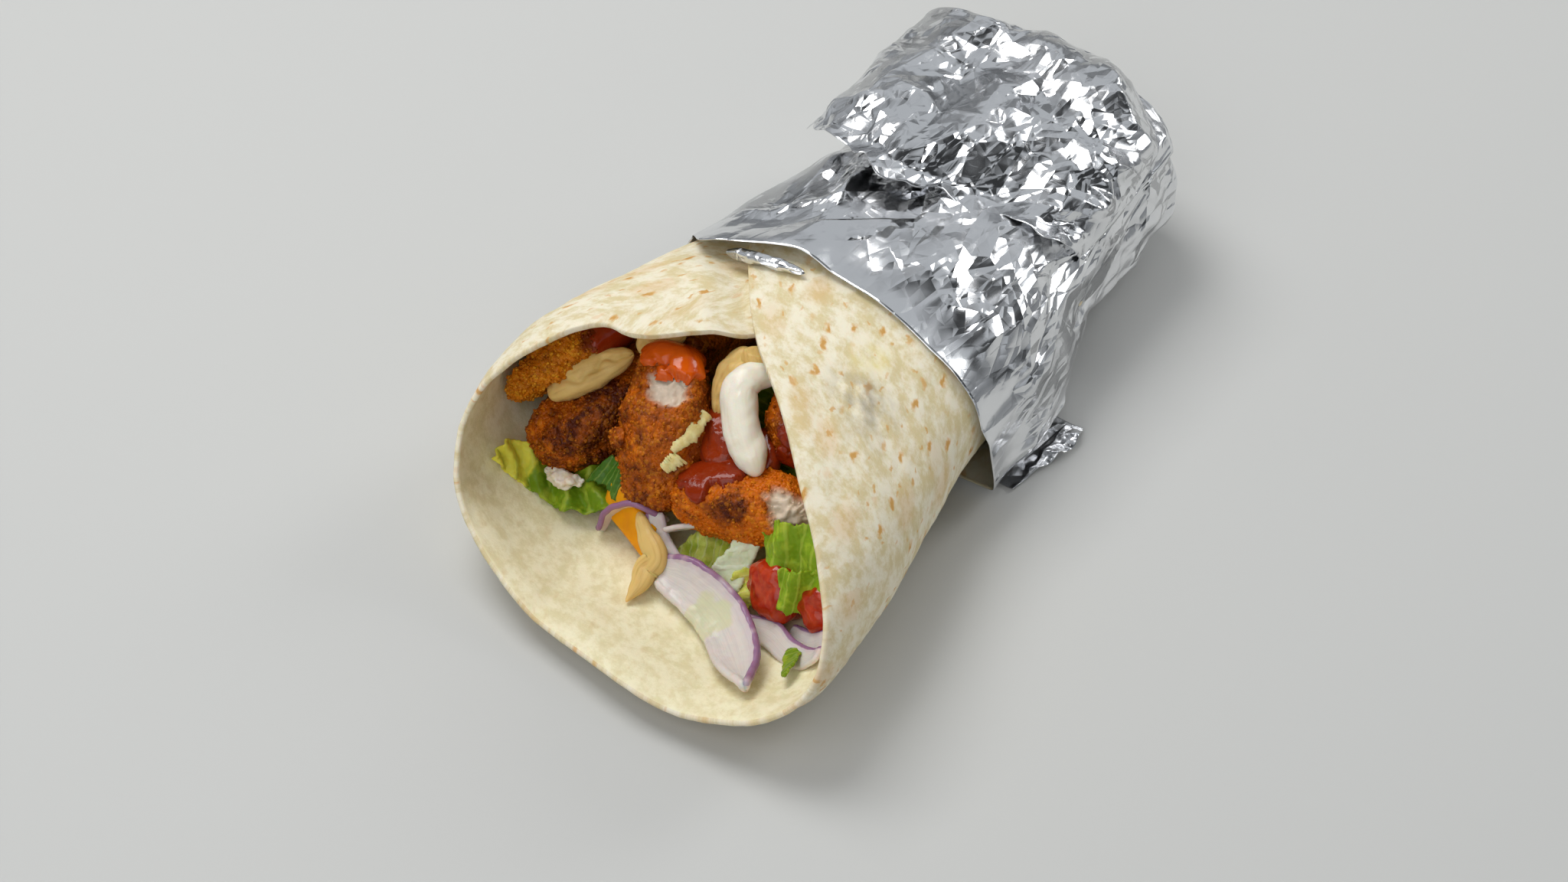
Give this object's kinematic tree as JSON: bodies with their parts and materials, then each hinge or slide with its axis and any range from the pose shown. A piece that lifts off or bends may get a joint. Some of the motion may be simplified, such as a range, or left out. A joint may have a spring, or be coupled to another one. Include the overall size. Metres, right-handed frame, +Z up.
{
  "type": "chicken wrap",
  "caption": "Flour tortilla rolled round breaded chicken, salad and sauces, open at one end and folded into crumpled foil at the other.",
  "frame": {"origin": "middle of the bounding box's bottom, on the surface the wrap lies on", "axes": "+Y along the wrap from the open mouth to the foil end, +X to the right seen from the mouth, +Z up"},
  "size_m": [0.1307, 0.2426, 0.0618],
  "materials": {
    "tortilla": "dry floury flatbread with toasted flecks",
    "foil": "bright crumpled foil",
    "breaded_chicken": "crisp crumb crust with glossy glaze",
    "white_sauce": "creamy glossy sauce",
    "tan_sauce": "creamy glossy sauce",
    "red_onion": "moist translucent onion with a purple edge",
    "lettuce": "moist leaf",
    "cheese": "waxy orange cheese",
    "tomato": "juicy red tomato"
  },
  "bodies": {
    "root": {"tortilla": "tortilla", "foil_sleeve": "foil", "foil_flap": "foil", "foil_corner": "foil", "foil_hem": "foil", "chicken_middle": "breaded_chicken", "chicken_lower": "breaded_chicken", "chicken_left": "breaded_chicken", "chicken_back_left": "breaded_chicken", "chicken_right": "breaded_chicken", "sauce_white": "white_sauce", "sauce_tan_left": "tan_sauce", "sauce_tan_upper": "tan_sauce", "sauce_tan_middle": "tan_sauce", "sauce_tan_drip": "tan_sauce", "onion_large": "red_onion", "onion_arch": "red_onion", "onion_strip": "red_onion", "onion_thin": "red_onion", "onion_right_front": "red_onion", "onion_right_back": "red_onion", "lettuce_left": "lettuce", "lettuce_dark": "lettuce", "lettuce_middle": "lettuce", "lettuce_rib": "lettuce", "lettuce_frill": "lettuce", "lettuce_right_upper": "lettuce", "lettuce_right_lower": "lettuce", "lettuce_sliver": "lettuce", "lettuce_bed": "lettuce", "cheese_strip": "cheese", "tomato_left": "tomato", "tomato_right": "tomato"}
  },
  "joints": []
}
